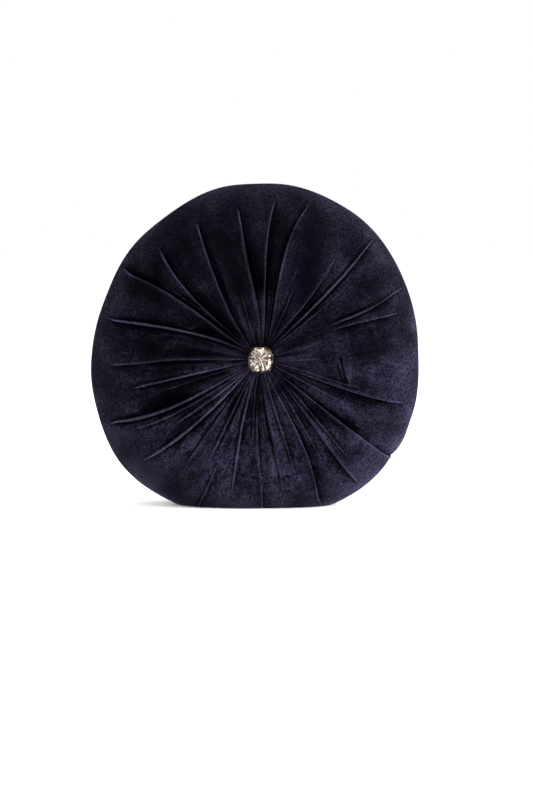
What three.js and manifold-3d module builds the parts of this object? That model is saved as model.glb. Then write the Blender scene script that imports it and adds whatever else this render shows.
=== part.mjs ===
// Round ruched velvet cushion standing on its rim, tufted through the middle with a crystal button.
// Millimetres, +Z up. The crystal faces -Y, and the origin is on the ground under the cushion.

import * as THREE from 'three';
import { mergeVertices } from 'three/addons/utils/BufferGeometryUtils.js';
import Module from 'manifold-3d';

// Outline of the standing cushion, seen from the front.
const HALF_WIDTH = 200;
const WIDEST_HEIGHT = 171;
const CROWN = 226;                  // from the widest line to the top
const BELLY = 190;                  // from the widest line down, before the ground flattens it
const OUTLINE_POWER = 2.12;         // 2 is an ellipse, more is squarer
const AXIS_X = 7;                   // the buttons' common axis runs along Y
const AXIS_Z = 182;

// Section of the stuffed cover, from the button axis to the rim.
const HUB_HALF = 25;                // half thickness under the buttons
const SHOULDER_HALF = 57;           // half thickness where the cushion is fattest
const SEAT_RADIUS = 17;             // flat seat that a button is drawn down on
const ROUND_RADIUS = 30;            // rings up to here stay true circles
const SHOULDER_RADIUS = 128;
const RIM_POWER = 0.92;
const COVER_HOLE = 8;
const CHANNEL = 6;                  // needle channel through the pad

// Cloth walls and the clearances between them.
const VELVET = 2;                   // velvet and its backing at the rim
const GATHERED_VELVET = 9;          // the same cloth where its pleats crowd together
const EASE = 2;                     // between the cover and the pad
const CALICO = 0.8;
const GAP = 0.3;                    // between pieces that touch
const FILL_GAP = 2;                 // between the calico and the fibre, which doesn't follow every fold
const SEAM_HALF = 1.2;              // half the joint between the pad's two panels

// Threads and twine.
const SEAM_THREAD = 0.35;           // radii
const GATHER_THREAD = 0.6;
const TWINE = 0.75;
const TWINE_LEG = 3.6;              // from the axis to each leg of the twine
const SIDE_SEAM_ANGLE = 247.5;       // degrees anticlockwise from +X, seen from the front
const CLOSING_FROM = 52.5;          // the pad's hand-closed opening, in the same degrees
const CLOSING_TO = 97.5;
const STITCH_WAVE = 0.4;
const STITCH_ANGLE = 1.5;
const THREAD_END = 0.5;             // degrees left clear at each end of the closing stitches
const KNOT_RADIUS = 2.2;
const KNOT_WIDTH = 4.9;
const KNOT_Y = 6;

// Buttons.
const LOOP_RADIUS = 3.5;            // wire loop behind each button
const LOOP_WIRE = 0.6;
const PLATE = 1;                    // thickness of the metal back plates
const CRYSTAL_PLATE_RADIUS = 11.5;
const CRYSTAL_RADIUS = 15.6;
const CRYSTAL_HEIGHT = 9.5;
const CRYSTAL_LOBES = 8;
// Facet rings from the table to the base, as shares of the radius and of the height.
const CRYSTAL_CUT = [[0, 1], [0.3, 1], [0.62, 0.84], [0.9, 0.56], [1, 0.34], [0.78, 0], [0, 0]];
const LOBE_DEPTH = 0.8;
const DOME_RADIUS = 13.2;
const DOME_HEIGHT = 6;
const DOME_WALL = 0.6;
const DOME_PLATE_RADIUS = 12;
const BUTTON_VELVET = 1.1;

// Sides of the cushion along Y.
const FRONT = -1;
const BACK = 1;

// Facets.
const COLUMNS = 48;                 // round the cushion, a multiple of 4 so that its extremes are kept
const DISH_STEPS = 5;
const RIM_STEPS = 6;
const RING_STEPS = 24;
const THREAD_SIDES = 6;
const DOME_STEPS = 6;

const wasm = await Module();
wasm.setup();

const material = (color, roughness, metalness = 0) =>
  new THREE.MeshStandardMaterial({ color, roughness, metalness });
const velvet = material(0x1d1930, 0.85);
const calico = material(0xd9d4c6, 0.9);
const fibre = material(0xf1f1ee, 1);
const thread = material(0x15132a, 0.6);
const twine = material(0xcfc7b2, 0.7);
const steel = material(0xb9b9bb, 0.3, 1);
const crystal = material(0xe9e6df, 0.05);

const radians = THREE.MathUtils.degToRad;
const powerOf = (value, power) => Math.sign(value) * Math.abs(value) ** power;

function rimPoint(angle) {
  const across = powerOf(Math.cos(angle), 2 / OUTLINE_POWER);
  const up = powerOf(Math.sin(angle), 2 / OUTLINE_POWER);
  return new THREE.Vector2(HALF_WIDTH * across, WIDEST_HEIGHT + (up > 0 ? CROWN : BELLY) * up);
}

// A point of the true round cushion moved to where it lies once the cushion stands and sags.
// It stays at least its clearance above the ground.
function settle(radius, y, angle, clearance) {
  const axis = new THREE.Vector2(AXIS_X, AXIS_Z);
  const round = new THREE.Vector2(Math.cos(angle), Math.sin(angle)).multiplyScalar(radius).add(axis);
  const sagged = rimPoint(angle).sub(axis).multiplyScalar(radius / HALF_WIDTH).add(axis);
  const place = round.lerp(sagged, THREE.MathUtils.smoothstep(radius, ROUND_RADIUS, SHOULDER_RADIUS));
  return new THREE.Vector3(place.x, y, Math.max(place.y, clearance));
}

// ---- sections: stations of (radius, y, clearance above the ground) --------------------------------

// The cover's outside, from the front hole over the rim to the back hole.
function coverSection() {
  const front = [new THREE.Vector3(COVER_HOLE, -HUB_HALF, 0)];
  for (let i = 0; i < DISH_STEPS; i++) {
    const out = i / DISH_STEPS;
    const rise = (SHOULDER_HALF - HUB_HALF) * Math.sin(out * Math.PI / 2);
    const radius = THREE.MathUtils.lerp(SEAT_RADIUS, SHOULDER_RADIUS, out);
    front.push(new THREE.Vector3(radius, -HUB_HALF - rise, 0));
  }
  for (let i = 0; i < RIM_STEPS; i++) {
    const turn = i / RIM_STEPS * Math.PI / 2;
    const radius = SHOULDER_RADIUS + (HALF_WIDTH - SHOULDER_RADIUS) * Math.sin(turn);
    front.push(new THREE.Vector3(radius, -SHOULDER_HALF * Math.cos(turn) ** RIM_POWER, 0));
  }
  const back = front.map((station) => new THREE.Vector3(station.x, -station.y, 0)).reverse();
  return [...front, new THREE.Vector3(HALF_WIDTH, 0, 0), ...back];
}

// The cover thickens towards the buttons, because the same width of velvet is gathered into less room.
const coverWall = (radius) => Math.min(GATHERED_VELVET, VELVET * HALF_WIDTH / radius);

// The same section moved inwards through the cover's wall and a further depth, ending at its own hole.
function innerSection(depth, hole) {
  const outside = coverSection();
  const last = outside.length - 1;
  return outside.map((station, i) => {
    const along = outside[Math.min(i + 1, last)].clone().sub(outside[Math.max(i - 1, 0)]).normalize();
    const inward = new THREE.Vector3(-along.y, along.x, 0);
    const moved = station.clone().addScaledVector(inward, coverWall(station.x) + depth);
    return moved.set(i === 0 || i === last ? hole : moved.x, moved.y, VELVET + depth);
  });
}

// One side of a section, from its hole out to the rim, ending short of the middle plane.
function halfSection(section, side) {
  const middle = (section.length - 1) / 2;
  const half = side < 0 ? section.slice(0, middle + 1) : section.slice(middle).reverse();
  half.at(-1).y = side * SEAM_HALF;
  return half;
}

// ---- shapes ----------------------------------------------------------------------------------------

// A closed section turned round the button axis, then settled on the ground.
function settledLathe(section) {
  const loop = [...section, section[0]];
  const geometry = new THREE.LatheGeometry(loop, COLUMNS);
  const position = geometry.attributes.position;
  for (let i = 0; i < position.count; i++) {
    const angle = Math.atan2(position.getZ(i), position.getX(i));
    const station = loop[i % loop.length];
    const point = settle(station.x, station.y, angle, station.z);
    position.setXYZ(i, point.x, point.y, point.z);
  }
  return geometry;
}

// A plain turned piece on the button axis. Its profile runs from the axis back to the axis.
function turned(profile) {
  return new THREE.LatheGeometry(profile, RING_STEPS).translate(AXIS_X, 0, AXIS_Z);
}

// A thread of round section through a list of points.
function threadThrough(points, radius, steps) {
  const shape = new THREE.Shape().absarc(0, 0, radius, 0, 2 * Math.PI);
  const extrudePath = new THREE.CatmullRomCurve3(points);
  return new THREE.ExtrudeGeometry(shape, { steps, curveSegments: THREAD_SIDES / 2, extrudePath });
}

function solidOf(geometry) {
  const bare = geometry.clone();
  bare.deleteAttribute('normal');
  bare.deleteAttribute('uv');
  const merged = mergeVertices(bare);
  const vertProperties = merged.attributes.position.array;
  return new wasm.Manifold(new wasm.Mesh({ numProp: 3, vertProperties, triVerts: merged.index.array }));
}

function geometryOf(solid) {
  const mesh = solid.getMesh();
  const geometry = new THREE.BufferGeometry();
  geometry.setAttribute('position', new THREE.BufferAttribute(mesh.vertProperties, mesh.numProp));
  geometry.setIndex(new THREE.BufferAttribute(mesh.triVerts, 1));
  return geometry;
}

// ---- cover -----------------------------------------------------------------------------------------

function velvetCover() {
  return settledLathe([...coverSection(), ...innerSection(0, COVER_HOLE).reverse()]);
}

// The strip of velvet is joined into a tube by one seam, which crosses the rim from button to button.
function sideSeamThread() {
  const stations = innerSection(EASE / 2, COVER_HOLE).slice(1, -1);
  const angle = radians(SIDE_SEAM_ANGLE);
  const points = stations.map((station) => settle(station.x, station.y, angle, station.z));
  return threadThrough(points, SEAM_THREAD, 2 * points.length);
}

// Each edge of the tube is drawn up on a strong thread, which ends as a tight ring behind the button.
function gatherThread(side) {
  const radius = COVER_HOLE - GAP - GATHER_THREAD;
  const ring = new THREE.TorusGeometry(radius, GATHER_THREAD, THREAD_SIDES, RING_STEPS);
  const depth = HUB_HALF - GATHERED_VELVET / 2;
  return ring.rotateX(Math.PI / 2).translate(AXIS_X, side * depth, AXIS_Z);
}

// ---- pad -------------------------------------------------------------------------------------------

function padPanel(side) {
  const outside = halfSection(innerSection(EASE, CHANNEL), side);
  const inside = halfSection(innerSection(EASE + CALICO, CHANNEL), side);
  const section = [...outside, ...inside.reverse()];
  return settledLathe(side < 0 ? section : section.reverse());
}

function fibreFill() {
  return settledLathe(innerSection(EASE + CALICO + FILL_GAP, CHANNEL));
}

// Points along the joint between the pad's panels, with an optional wave from panel to panel.
function rimSeamPoints(from, to, step, wave) {
  const depth = VELVET + EASE + CALICO / 2;
  const points = [];
  for (let i = 0; i * step <= to - from; i++) {
    const y = i % 2 ? wave : -wave;
    points.push(settle(HALF_WIDTH - depth, y, radians(from + i * step), depth));
  }
  return points;
}

function rimSeamThread() {
  const columnAngle = 360 / COLUMNS;
  const points = rimSeamPoints(CLOSING_TO, CLOSING_FROM + 360, columnAngle, 0);
  return threadThrough(points, SEAM_THREAD, 2 * points.length);
}

// The opening that the fibre went in by is ladder-stitched by hand.
function closingStitches() {
  const points = rimSeamPoints(CLOSING_FROM + THREAD_END, CLOSING_TO - THREAD_END, STITCH_ANGLE, STITCH_WAVE);
  return threadThrough(points, SEAM_THREAD, 2 * points.length);
}

// ---- buttons and twine -----------------------------------------------------------------------------

const loopCentre = HUB_HALF - LOOP_RADIUS - LOOP_WIRE;
const plateFace = HUB_HALF + GAP;
const plateBack = plateFace + PLATE;

function wireLoop(side) {
  const ring = new THREE.TorusGeometry(LOOP_RADIUS, LOOP_WIRE, THREAD_SIDES, RING_STEPS / 2);
  return ring.rotateY(Math.PI / 2).translate(AXIS_X, side * loopCentre, AXIS_Z);
}

function plate(side, radius) {
  const disc = new THREE.CylinderGeometry(radius, radius, PLATE, RING_STEPS);
  return disc.translate(AXIS_X, side * (plateFace + PLATE / 2), AXIS_Z);
}

// The crystal's scalloped girdle and its facets: every other crown ring is turned by half a facet.
function crystalStone() {
  const columns = 2 * CRYSTAL_LOBES;
  const base = plateBack + GAP;
  const profile = CRYSTAL_CUT.map(
    ([out, up]) => new THREE.Vector2(CRYSTAL_RADIUS * out, -base - CRYSTAL_HEIGHT * up),
  );
  const geometry = new THREE.LatheGeometry(profile, columns);
  const position = geometry.attributes.position;
  for (let i = 0; i < position.count; i++) {
    const ring = i % CRYSTAL_CUT.length;
    const column = Math.floor(i / CRYSTAL_CUT.length);
    const lobe = ring > 1 && column % 2 ? LOBE_DEPTH : 0;
    const radius = Math.max(profile[ring].x - lobe, 0);
    const angle = (column + (ring % 2) / 2) * 2 * Math.PI / columns;
    position.setXYZ(i, radius * Math.sin(angle), position.getY(i), radius * Math.cos(angle));
  }
  return geometry.translate(AXIS_X, 0, AXIS_Z);
}

// A thin domed cap, open on the side that faces the cushion.
function domedCap(radius, height, wall) {
  const outside = [];
  const inside = [];
  for (let i = 0; i <= DOME_STEPS; i++) {
    const turn = i / DOME_STEPS * Math.PI / 2;
    const across = Math.sin(turn);
    const up = Math.cos(turn);
    outside.push(new THREE.Vector2(radius * across, plateFace + height * up));
    inside.push(new THREE.Vector2((radius - wall) * across, plateFace + (height - wall) * up));
  }
  return turned([...inside, ...outside.reverse()]);
}

// One strand of twine in a closed loop through both wire loops, knotted in the needle channel.
function tuftingTwine() {
  const bight = loopCentre - LOOP_RADIUS + LOOP_WIRE + GAP + TWINE;
  const strand = new THREE.TorusGeometry(TWINE_LEG, TWINE, THREAD_SIDES, RING_STEPS / 2);
  strand.rotateZ(Math.PI / (RING_STEPS / 2));
  const position = strand.attributes.position;
  for (let i = 0; i < position.count; i++) {
    const y = position.getY(i);
    position.setY(i, y + Math.sign(y) * (bight - TWINE_LEG));
  }
  const knot = new THREE.SphereGeometry(KNOT_RADIUS, THREAD_SIDES * 2, THREAD_SIDES);
  knot.scale(KNOT_WIDTH / KNOT_RADIUS, 1, 1).translate(0, KNOT_Y, 0);
  return geometryOf(solidOf(strand).add(solidOf(knot))).translate(AXIS_X, 0, AXIS_Z);
}

// ---- assembly --------------------------------------------------------------------------------------

function named(name, geometry, look) {
  const mesh = new THREE.Mesh(geometry, look);
  mesh.name = name;
  return mesh;
}

function coverGroup() {
  return new THREE.Group().add(
    named('velvet_cover', velvetCover(), velvet),
    named('cover_side_seam_thread', sideSeamThread(), thread),
    named('front_gather_thread', gatherThread(FRONT), thread),
    named('back_gather_thread', gatherThread(BACK), thread),
  );
}

function padGroup() {
  return new THREE.Group().add(
    named('pad_front_panel', padPanel(FRONT), calico),
    named('pad_back_panel', padPanel(BACK), calico),
    named('pad_rim_seam_thread', rimSeamThread(), twine),
    named('pad_closing_stitches', closingStitches(), twine),
    named('fibre_fill', fibreFill(), fibre),
  );
}

function crystalButton() {
  return new THREE.Group().add(
    named('crystal_stone', crystalStone(), crystal),
    named('crystal_back_plate', plate(FRONT, CRYSTAL_PLATE_RADIUS), steel),
    named('crystal_wire_loop', wireLoop(FRONT), steel),
  );
}

function backButton() {
  const velvetRadius = DOME_RADIUS + GAP + BUTTON_VELVET;
  const velvetHeight = DOME_HEIGHT + GAP + BUTTON_VELVET;
  return new THREE.Group().add(
    named('back_button_velvet', domedCap(velvetRadius, velvetHeight, BUTTON_VELVET), velvet),
    named('back_button_dome', domedCap(DOME_RADIUS, DOME_HEIGHT, DOME_WALL), steel),
    named('back_button_plate', plate(BACK, DOME_PLATE_RADIUS), steel),
    named('back_button_wire_loop', wireLoop(BACK), steel),
  );
}

const cushion = new THREE.Group();
cushion.add(coverGroup(), padGroup(), crystalButton(), backButton());
cushion.add(named('tufting_twine', tuftingTwine(), twine));

export default cushion;
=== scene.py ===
import math
import random

import bpy
import numpy as np
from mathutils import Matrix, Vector, noise


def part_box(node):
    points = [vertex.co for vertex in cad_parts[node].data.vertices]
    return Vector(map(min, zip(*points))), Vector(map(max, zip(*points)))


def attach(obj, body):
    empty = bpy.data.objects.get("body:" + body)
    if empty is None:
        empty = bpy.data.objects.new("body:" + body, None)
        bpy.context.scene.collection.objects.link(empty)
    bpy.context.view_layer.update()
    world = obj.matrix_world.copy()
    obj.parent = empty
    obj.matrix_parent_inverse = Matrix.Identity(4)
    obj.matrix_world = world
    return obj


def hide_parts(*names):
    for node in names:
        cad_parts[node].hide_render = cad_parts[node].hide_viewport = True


# A round ruched velvet cushion standing on its rim: metres, +Z up, the crystal button faces -Y.

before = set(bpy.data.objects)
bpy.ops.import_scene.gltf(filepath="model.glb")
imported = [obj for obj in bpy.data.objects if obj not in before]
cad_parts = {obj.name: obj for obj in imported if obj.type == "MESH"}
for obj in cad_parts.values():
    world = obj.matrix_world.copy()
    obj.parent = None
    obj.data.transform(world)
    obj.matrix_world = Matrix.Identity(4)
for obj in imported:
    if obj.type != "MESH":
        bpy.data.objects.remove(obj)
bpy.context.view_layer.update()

# ---- sizes, from the frame -------------------------

MM = 0.001

_, cover_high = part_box("velvet_cover")
stone_low, stone_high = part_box("crystal_stone")
_, plate_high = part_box("crystal_back_plate")
button_low, button_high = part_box("back_button_velvet")
dome_low, dome_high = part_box("back_button_dome")

HALF_WIDTH = cover_high.x
HEIGHT = cover_high.z
SHOULDER_HALF = cover_high.y
AXIS = Vector(((stone_low.x + stone_high.x) / 2, 0, (stone_low.z + stone_high.z) / 2))
STONE_RADIUS = (stone_high.x - stone_low.x) / 2
HUB_HALF = -plate_high.y - 0.3 * MM

# The outline's widest line, and its reach above and below that line.
WIDEST = 0.855 * HALF_WIDTH
CROWN = HEIGHT - WIDEST
BELLY = 0.95 * HALF_WIDTH
OUTLINE_POWER = 2.12

# The section from the button axis to the rim.
SEAT_RADIUS = STONE_RADIUS + 1.2 * MM
ROUND_RADIUS = 0.03
SHOULDER_RADIUS = 0.64 * HALF_WIDTH
RIM_POWER = 0.92
INNER_RADIUS = 0.0065
FULL_DISH = 0.08                      # radius beyond which the folds are no longer crowded
GROUND_GAP = 0.4 * MM


def add_object(name, data):
    added = bpy.data.objects.new(name, data)
    bpy.context.collection.objects.link(added)
    return added


# ---- camera ----------------------------------------

CAMERA_ELEVATION = math.radians(6)
CAMERA_DISTANCE = 2.6
FRAME_HEIGHT = 0.9816                 # of the view, at the cushion
AIM_FROM_AXIS = Vector((0.0074, 0, -0.0496))


def make_camera():
    aim = AXIS + AIM_FROM_AXIS + Vector((0, -HUB_HALF, 0))
    back = Vector((0, -math.cos(CAMERA_ELEVATION), math.sin(CAMERA_ELEVATION)))
    data = bpy.data.cameras.new("camera")
    camera = add_object("camera", data)
    camera.location = aim + back * CAMERA_DISTANCE
    camera.rotation_euler = back.to_track_quat("Z", "Y").to_euler()
    data.sensor_fit = "VERTICAL"
    data.sensor_height = 36
    data.lens = data.sensor_height * CAMERA_DISTANCE / FRAME_HEIGHT
    data.clip_end = 20
    bpy.context.scene.camera = camera


make_camera()


# ---- outline and section ---------------------------

# Where the stuffing bulges or falls short of the even outline: degrees, spread in degrees, mm.
OUTLINE_BUMPS = [
    (8, 14, 2.0), (38, 20, 5.0), (75, 14, 2.0), (92, 8, -1.5), (124, 14, -7.0), (156, 14, -4.0),
    (187, 12, 3.5), (216, 16, 4.5), (247.5, 1.6, 1.5), (250, 9, 3.0), (262, 8, 3.0), (310, 13, 4.5),
    (323, 2, -0.9), (330, 5, 2.0), (345, 14, 4.5),
]


def wrapped(angle):
    return (angle + math.pi) % (2 * math.pi) - math.pi


def bump(angle, centre, spread):
    return np.exp(-(wrapped(angle - math.radians(centre)) / math.radians(spread)) ** 2)


def signed_power(value, power):
    return np.sign(value) * np.abs(value) ** power


def smoothstep(value, low, high):
    share = np.clip((value - low) / (high - low), 0, 1)
    return share * share * (3 - 2 * share)


def round_turn(count):
    """Evenly spaced directions all the way round."""
    return np.linspace(0, 2 * math.pi, count, endpoint=False)


OUTLINE_POINTS = 1441


def outline_radius(angle):
    """Distance from the button axis to the rim, before the ground flattens it."""
    turn = np.linspace(0, 2 * math.pi, OUTLINE_POINTS)
    up = signed_power(np.sin(turn), 2 / OUTLINE_POWER)
    x = HALF_WIDTH * signed_power(np.cos(turn), 2 / OUTLINE_POWER) - AXIS.x
    z = WIDEST + np.where(up > 0, CROWN, BELLY) * up - AXIS.z
    polar = np.unwrap(np.arctan2(z, x))
    radius = np.interp((angle - polar[0]) % (2 * math.pi) + polar[0], polar, np.hypot(x, z))
    for centre, spread, height in OUTLINE_BUMPS:
        radius = radius + height * MM * bump(angle, centre, spread)
    return radius


def section(t):
    """Radius and y of the smooth cushion: t runs 0 hub, 1 shoulder, 2 rim, 3 back shoulder, 4 hub."""
    side = np.where(t < 2, -1.0, 1.0)
    out = np.where(t < 2, t, 4 - t)
    dish = INNER_RADIUS + (SHOULDER_RADIUS - INNER_RADIUS) * np.clip(out, 0, 1)
    climb = np.clip((dish - SEAT_RADIUS) / (SHOULDER_RADIUS - SEAT_RADIUS), 0, 1)
    dish_half = HUB_HALF + (SHOULDER_HALF - HUB_HALF) * np.sin(climb * math.pi / 2)
    turn = np.clip(out - 1, 0, 1) * math.pi / 2
    rim = SHOULDER_RADIUS + (HALF_WIDTH - SHOULDER_RADIUS) * np.sin(turn)
    rim_half = SHOULDER_HALF * np.cos(turn) ** RIM_POWER
    radius = np.where(out < 1, dish, rim)
    half = np.where(out < 1, dish_half, np.where(out > 1.9999, 0, rim_half))    # exactly 0 at the rim
    return radius, side * half


def section_normal(t):
    step = 0.004
    before = section(np.clip(t - step, 0, 4))
    after = section(np.clip(t + step, 0, 4))
    along = np.stack([after[0] - before[0], after[1] - before[1]])
    along /= np.linalg.norm(along, axis=0)
    return along[1], -along[0]


def settle(radius, y, angle, clearance=GROUND_GAP):
    """The true round cushion's point, moved to where it lies once the cushion stands and sags."""
    share = smoothstep(radius, ROUND_RADIUS, SHOULDER_RADIUS)
    reach = radius * (1 + (outline_radius(angle) / HALF_WIDTH - 1) * share)
    x = AXIS.x + reach * np.cos(angle)
    z = np.maximum(AXIS.z + reach * np.sin(angle), clearance)
    return np.stack([x, y + 0 * x, z], axis=-1)


# ---- pleats ----------------------------------------

# The pleats of the front, anticlockwise from the right: direction near the button, halfway and at the
# outer end in degrees, start and end as shares of the radius, depth in mm, and the side that the lip
# is on: 1 is anticlockwise, -1 is clockwise, and 0 is a narrow ridge with a crease on each side.
PLEATS = [
    (1, 2, 4, 0, 0.30, 3.0, -1), (15, 17, 17, 0, 0.42, 1.5, 1), (28, 23.5, 18.5, 0.50, 0.90, 4.0, 1),
    (37, 28, 27, 0.50, 0.99, 3.2, 0), (42, 41, 43, 0, 0.70, 1.4, 0), (47, 46, 47, 0, 0.98, 4.0, 0),
    (54, 51.5, 57.5, 0, 0.75, 4.0, 1), (63, 66, 70, 0, 0.48, 2.5, 0), (72, 78, 73.5, 0, 0.94, 4.5, -1),
    (81, 86, 84.5, 0, 0.92, 4.5, 1), (89, 95, 98, 0, 0.88, 5.5, 1), (107, 106, 105, 0, 0.42, 2.2, 0),
    (125, 119, 114, 0, 0.88, 5.0, 1), (135, 136, 131, 0, 0.88, 6.0, 1), (141, 141.5, 146, 0, 0.98, 6.0, 1),
    (151, 158, 164.5, 0, 0.95, 6.5, 0), (158, 163, 167, 0, 0.64, 2.6, -1), (181, 181, 182, 0, 0.88, 5.5, -1),
    (190, 191, 192, 0, 0.76, 4.0, 0), (197, 197, 199, 0, 0.60, 2.4, -1), (209, 208, 203, 0, 0.95, 6.5, 0),
    (214, 212, 207, 0, 0.82, 2.6, 0), (219, 217, 214, 0, 0.60, 4.0, 0), (225, 224, 220, 0, 0.88, 5.0, 0),
    (231, 233, 233, 0, 0.74, 4.0, 1), (239, 242, 241, 0, 0.64, 3.4, 0), (245, 247, 247, 0.70, 1.05, 2.0, 0),
    (250, 255, 258, 0, 0.80, 3.5, 0), (260, 265, 267, 0, 0.52, 3.2, 0), (264, 269, 271, 0, 0.98, 3.2, -1),
    (273, 278, 279, 0, 0.84, 3.5, 1), (285, 287, 286, 0, 0.74, 2.8, 0), (298, 298, 293, 0, 0.97, 4.0, -1),
    (306, 303, 301, 0, 0.72, 2.0, 0), (313, 309, 308, 0, 0.95, 6.0, 1), (318, 314, 312, 0, 0.80, 2.2, 0),
    (326, 324, 323, 0, 1.05, 5.5, -1), (335, 334, 333, 0, 0.56, 2.0, 0), (342, 341, 343, 0, 0.92, 5.5, 1),
    (347, 345, 346, 0, 0.62, 2.2, 0),
]
NEAR, HALFWAY, OUTER = 0.028, 0.095, 0.18     # radii where those directions hold
GATHER_SPACING = 10.0                         # degrees between folds where they crowd at the button
LEAST_APART = math.radians(2.2)
RUN_OUT, THIN_OUT = 0.08, 0.35                # shares of the radius over which a pleat ends and thins
RUN_IN = 0.08                                 # the same, either side of where a late pleat begins
RIM_CREASE = 1.4 * MM                         # least depth of the pleats that cross the rim
TIP_SHINE = 1.9                               # how much brighter the painted highlight on a pleat's crest is near its outer end

# Short creases that cross the puffed velvet: both ends from the axis in mm, and the depth in mm.
KINKS = [
    ((97, 5), (105, -29), 1.7), ((93, -4), (102, -31), 1.3), ((102, -31), (117, -33), 1.0),
    ((-23, -139), (-2, -143), 1.3), ((27, -141), (49, -134), 1.1),
]


class Folds:
    """Every fold line of one face, as arrays: directions at three radii, start, end, depth, lip."""

    def __init__(self, rows):
        rows = np.array(rows, float)
        self.near, self.halfway, self.outer = np.radians(rows[:, 0:3]).T
        self.start, self.reach, self.depth, self.lip = rows[:, 3:7].T

    def direction(self, radius):
        """Angle of each fold line at a radius, kept in order and apart."""
        x = (radius - NEAR) / (OUTER - NEAR)
        middle = (HALFWAY - NEAR) / (OUTER - NEAR)
        bend = (self.halfway - self.near - (self.outer - self.near) * middle) / (middle * (middle - 1))
        slope = self.outer - self.near - bend
        x = np.clip(x, -0.1, 1.0)
        return apart(self.near + slope * x + bend * x * x)


def gaps_after(angle):
    """The angle from each fold line to the next."""
    gap = np.roll(angle, -1) - angle
    gap[-1] += 2 * math.pi
    return gap


def apart(angle):
    """The same angles, moved as little as needed to stay in order with a least spacing."""
    for _ in range(80):
        short = np.maximum(LEAST_APART - gaps_after(angle), 0) / 2
        if short.max() < 1e-5:
            break
        angle = angle - short + np.roll(short, 1)
    return angle


def with_gathers(rows, chance):
    """The pleats, with soft short gathers wherever the pleats leave room round the button."""
    made = []
    for row, after in zip(rows, rows[1:] + [rows[0]]):
        made.append(row)
        turn = 360 if after is rows[0] else 0
        extra = int(round((after[0] + turn - row[0]) / GATHER_SPACING)) - 1
        for i in range(extra):
            share = (i + 1 + chance.uniform(-0.15, 0.15)) / (extra + 1)
            directions = [row[k] + (after[k] + turn - row[k]) * share for k in range(3)]
            reach = chance.uniform(0.22, 0.45)
            made.append((*directions, 0, reach, chance.uniform(1.5, 2.8), chance.choice((-1, 0, 1))))
    return made


def back_rows(rows, chance):
    """The same folds as they run on the back: each leaves the rim where it did in front."""
    made = []
    for *_, outer, start, reach, _, _ in rows:
        turn = chance.uniform(-2.0, 2.0)
        is_long = reach > 0.6
        reach = chance.uniform(0.78, 0.97) if is_long else chance.uniform(0.24, 0.6)
        depth = chance.uniform(3.0, 5.5) if is_long else chance.uniform(1.8, 3.2)
        lip = chance.choice((-1, 0, 1))
        made.append((outer + 1.6 * turn, outer + turn, outer, start, reach, depth, lip))
    return made


chance = random.Random(7)
front_rows = with_gathers(PLEATS, chance)
FRONT_FOLDS = Folds(front_rows)
BACK_FOLDS = Folds(back_rows(front_rows, chance))

# Mesh columns stand at these distances from each fold line, and evenly between them.
BESIDE_FOLD = np.array([0, 0.5, 1.0, 1.6, 2.4, 3.8]) * MM
COLUMN_STEP = 4.6 * MM
WIDEST_SIDE = 0.42                            # most of a gap that one fold's columns take


def column_plan():
    """For each mesh column: its fold, and its distances at the rim from that fold and from the next."""
    fold, from_fold, to_next = [], [], []
    reach = BESIDE_FOLD[-1]
    for k, gap in enumerate(gaps_after(FRONT_FOLDS.direction(OUTER))):
        width = gap * HALF_WIDTH
        steps = max(int(round((width - 2 * reach) / COLUMN_STEP)), 2)
        middle = np.linspace(reach, width - reach, steps + 1)
        places = np.concatenate([BESIDE_FOLD[:-1], middle, width - BESIDE_FOLD[-2:0:-1]])
        fold += [k] * len(places)
        from_fold += list(places)
        to_next += list(width - places)
    return np.array(fold), np.array(from_fold), np.array(to_next)


FOLD, FROM_FOLD, TO_NEXT = column_plan()
NEXT_FOLD = (FOLD + 1) % len(front_rows)


def column_shares(width):
    """Place of each column between its folds, from 0 to 1, where they stand this far apart.

    Where folds crowd, the columns beside them move closer, so that the middle ones keep their room."""
    reach = BESIDE_FOLD[-1]
    whole = FROM_FOLD + TO_NEXT
    squeeze = np.minimum(width / whole, 1) ** 0.5
    wanted = reach / width * squeeze
    side = np.minimum(wanted, WIDEST_SIDE)
    shrink = side / wanted
    left = np.minimum(FROM_FOLD, reach) / width * squeeze * shrink
    right = np.minimum(TO_NEXT, reach) / width * squeeze * shrink
    inner = (FROM_FOLD - reach) / (whole - 2 * reach)
    middle = side + (1 - 2 * side) * inner
    return np.where(TO_NEXT < reach, 1 - right, np.where(FROM_FOLD < reach, left, middle))


def fold_state(t):
    """Radius at one place of the section, and every fold's direction, depth, lip side and tip there."""
    radius = float(section(np.array(t))[0])
    if t < 2:
        folds = FRONT_FOLDS
        angle = folds.direction(min(radius, OUTER))
    else:
        folds = BACK_FOLDS
        rim_share = smoothstep(4 - t, 1.2, 2.0)
        angle = apart(folds.direction(radius) * (1 - rim_share) + FRONT_FOLDS.direction(OUTER) * rim_share)
    out = radius / HALF_WIDTH
    taper = np.clip((folds.reach - out) / RUN_OUT, 0, 1) ** 0.7
    fullness = 0.5 + 0.5 * np.clip((folds.reach - out) / THIN_OUT, 0, 1)
    begun = np.where(folds.start > 0, smoothstep(out - folds.start, -RUN_IN, RUN_IN), 1)
    soft = 0.75 + 0.25 * smoothstep(radius, SEAT_RADIUS, FULL_DISH)
    depth = folds.depth * MM * taper * fullness * begun * soft
    if 1 < t < 3:
        depth = np.where(FRONT_FOLDS.reach > 1, np.maximum(depth, RIM_CREASE), depth)
    width = gaps_after(angle) * radius
    depth = np.minimum(depth, 0.9 * np.minimum(width, np.roll(width, 1)))
    tip = np.exp(-((folds.reach - out - 0.05) / 0.05) ** 2)
    return radius, angle, depth, folds.lip, tip


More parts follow.
